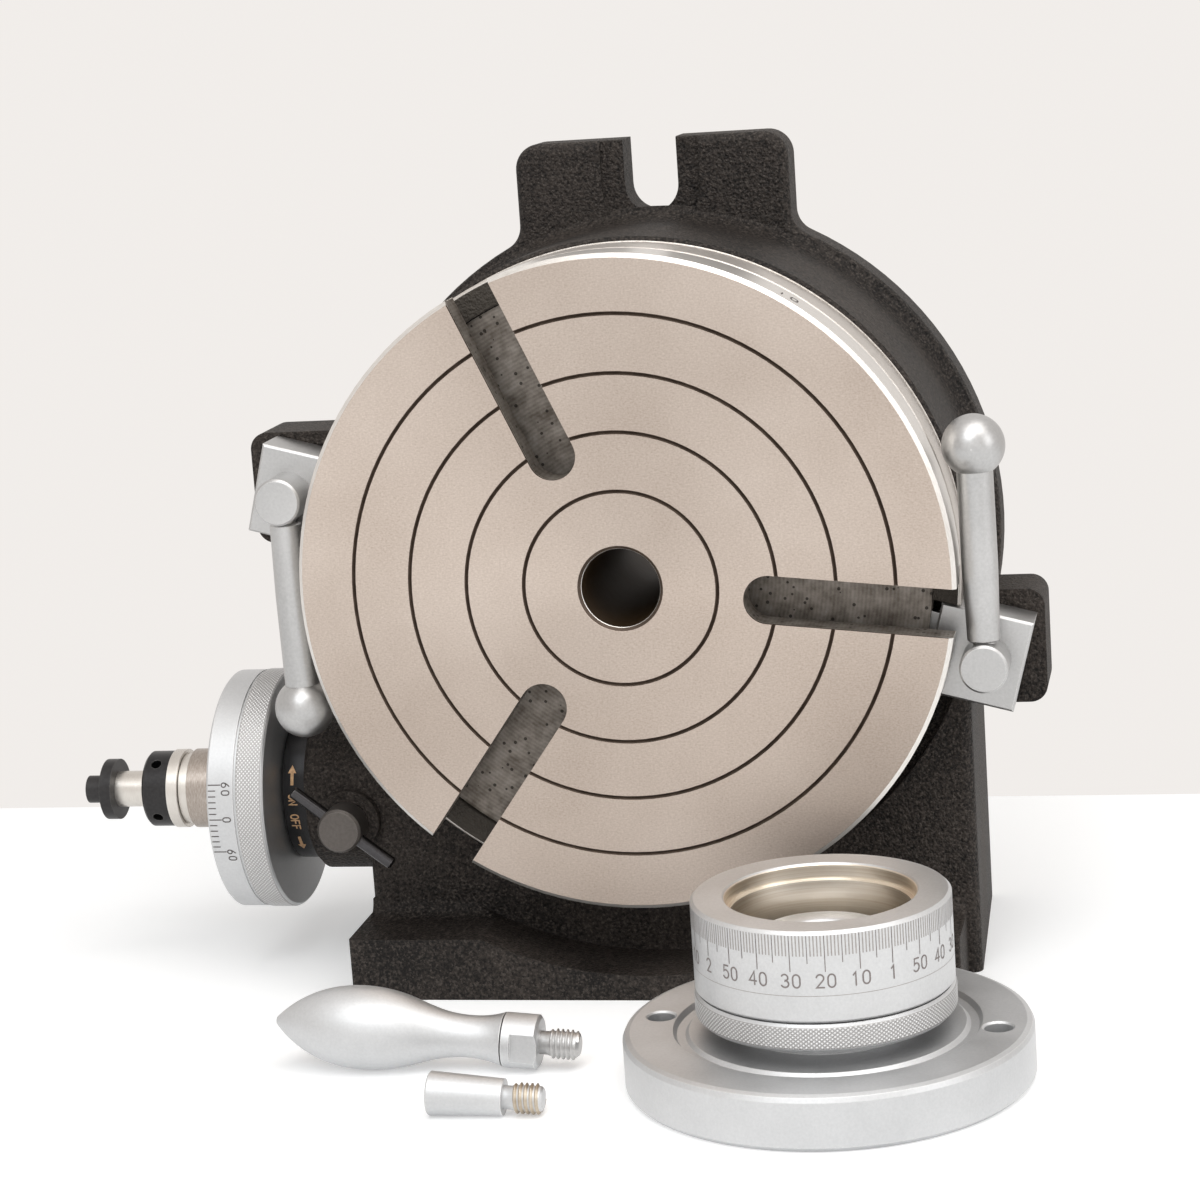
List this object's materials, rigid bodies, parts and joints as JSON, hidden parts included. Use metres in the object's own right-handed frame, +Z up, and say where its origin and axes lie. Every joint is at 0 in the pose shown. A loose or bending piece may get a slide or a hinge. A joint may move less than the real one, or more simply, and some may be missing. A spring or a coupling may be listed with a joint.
{
  "type": "upright worm-drive rotary table",
  "caption": "Rotary table with its face upright: T-slotted faceplate on a cast body, eccentric worm drive, two lever clamps, and a loose handwheel, dial collar, crank handle and knob.",
  "frame": {"origin": "on the face of the upright foot, below the table axis and half way between the table face and the rear base", "axes": "+Z up from the foot; -Y out of the table face; +X to the right seen from the front, away from the worm's drive end"},
  "size_m": [0.2382, 0.1684, 0.1933],
  "materials": {
    "casting_paint": "rough black paint on a sand casting",
    "ground_face": "finely ground",
    "bronze": "machined bronze",
    "black_oxide": "black oxide",
    "bright_steel": "turned",
    "nickel_steel": "satin nickel",
    "satin_chrome": "satin chrome"
  },
  "bodies": {
    "base": {"base_casting": "casting_paint", "thrust_washer": "bronze", "rear_cover": "bright_steel", "cover_screw_1": "black_oxide", "cover_screw_2": "black_oxide", "cover_screw_3": "black_oxide", "lock_pad": "bronze"},
    "rotary_table": {"table": "ground_face", "worm_wheel": "bronze", "wheel_screw_1": "black_oxide", "wheel_screw_2": "black_oxide", "wheel_screw_3": "black_oxide", "wheel_screw_4": "black_oxide", "spindle_locknut": "bright_steel"},
    "eccentric": {"eccentric_sleeve": "black_oxide", "worm_front_bush": "bronze", "worm_rear_bush": "bronze", "thrust_bearing": "black_oxide"},
    "worm": {"worm_shaft": "bright_steel", "thrust_collar": "black_oxide", "round_nut": "black_oxide", "shaft_washer": "black_oxide", "shaft_cap_screw": "black_oxide"},
    "vernier": {"vernier_ring": "satin_chrome", "vernier_ring_screw": "black_oxide"},
    "lock_knob": {"lock_screw": "black_oxide"},
    "lock_tommy_bar": {"lock_bar": "black_oxide"},
    "handwheel_disc": {"handwheel": "satin_chrome"},
    "dial": {"dial_collar": "satin_chrome"},
    "dial_ring": {"dial_lock_ring": "satin_chrome"},
    "handle_stem": {"handle_spindle": "satin_chrome"},
    "handle": {"handle_grip": "satin_chrome"},
    "knob": {"taper_knob": "satin_chrome"},
    "block_right": {"clamp_block_right": "nickel_steel"},
    "clamp_right": {"clamp_screw_right": "nickel_steel", "clamp_lever_right": "nickel_steel", "clamp_ball_right": "nickel_steel"},
    "block_left": {"clamp_block_left": "nickel_steel"},
    "clamp_left": {"clamp_screw_left": "nickel_steel", "clamp_lever_left": "nickel_steel", "clamp_ball_left": "nickel_steel"}
  },
  "joints": [
    {"name": "table_turn", "type": "hinge", "parent": "base", "child": "rotary_table", "pos_m": [0, -0.01, 0.0975], "axis": [0, 1, 0], "continuous": true},
    {"name": "eccentric_turn", "type": "hinge", "parent": "base", "child": "eccentric", "pos_m": [-0.06, -0.0005, 0.0425], "axis": [1, 0, 0], "range_deg": [0, 80]},
    {"name": "worm_turn", "type": "hinge", "parent": "eccentric", "child": "worm", "pos_m": [-0.06, -0.003, 0.0425], "axis": [1, 0, 0], "continuous": true},
    {"name": "vernier_set", "type": "hinge", "parent": "eccentric", "child": "vernier", "pos_m": [-0.098, -0.003, 0.0425], "axis": [1, 0, 0], "range_deg": [-30, 30]},
    {"name": "lock_turn", "type": "hinge", "parent": "base", "child": "lock_knob", "pos_m": [-0.0739, -0.0265, 0.0387], "axis": [0, 1, 0], "range_deg": [-120, 120]},
    {"name": "lock_bar_slide", "type": "slide", "parent": "lock_knob", "child": "lock_tommy_bar", "axis": [0.788, 0, -0.6157], "range_m": [-0.003, 0.003]},
    {"name": "handwheel_lift", "type": "slide", "parent": "base", "child": "handwheel_disc", "axis": [0, 0, 1], "range_m": [0, 0.15]},
    {"name": "dial_lift", "type": "slide", "parent": "handwheel_disc", "child": "dial", "axis": [0, 0, 1], "range_m": [0, 0.08]},
    {"name": "dial_ring_turn", "type": "hinge", "parent": "dial", "child": "dial_ring", "pos_m": [0.0478, -0.0848, 0.018], "axis": [0, 0, 1], "continuous": true},
    {"name": "handle_lift", "type": "slide", "parent": "base", "child": "handle_stem", "axis": [0, 0, 1], "range_m": [0, 0.1]},
    {"name": "handle_spin", "type": "hinge", "parent": "handle_stem", "child": "handle", "pos_m": [-0.04513, -0.0823, 0.00846], "axis": [0.9967, 0, -0.0814], "continuous": true},
    {"name": "knob_lift", "type": "slide", "parent": "base", "child": "knob", "axis": [0, 0, 1], "range_m": [0, 0.1]},
    {"name": "block_slide_right", "type": "slide", "parent": "base", "child": "block_right", "axis": [0, 1, 0], "range_m": [0, 0.00035]},
    {"name": "clamp_turn_right", "type": "hinge", "parent": "block_right", "child": "clamp_right", "pos_m": [0.07978, -0.031, 0.07612], "axis": [0, 1, 0], "range_deg": [0, 100]},
    {"name": "block_slide_left", "type": "slide", "parent": "base", "child": "block_left", "axis": [0, 1, 0], "range_m": [0, 0.00035]},
    {"name": "clamp_turn_left", "type": "hinge", "parent": "block_left", "child": "clamp_left", "pos_m": [-0.07978, -0.031, 0.11888], "axis": [0, 1, 0], "range_deg": [0, 100]}
  ],
  "couplings": [
    {"joint": "worm_turn", "follows": "table_turn", "ratio": 90},
    {"joint": "block_slide_right", "follows": "clamp_turn_right", "m_per_rad": 0.0002},
    {"joint": "block_slide_left", "follows": "clamp_turn_left", "m_per_rad": 0.0002}
  ]
}
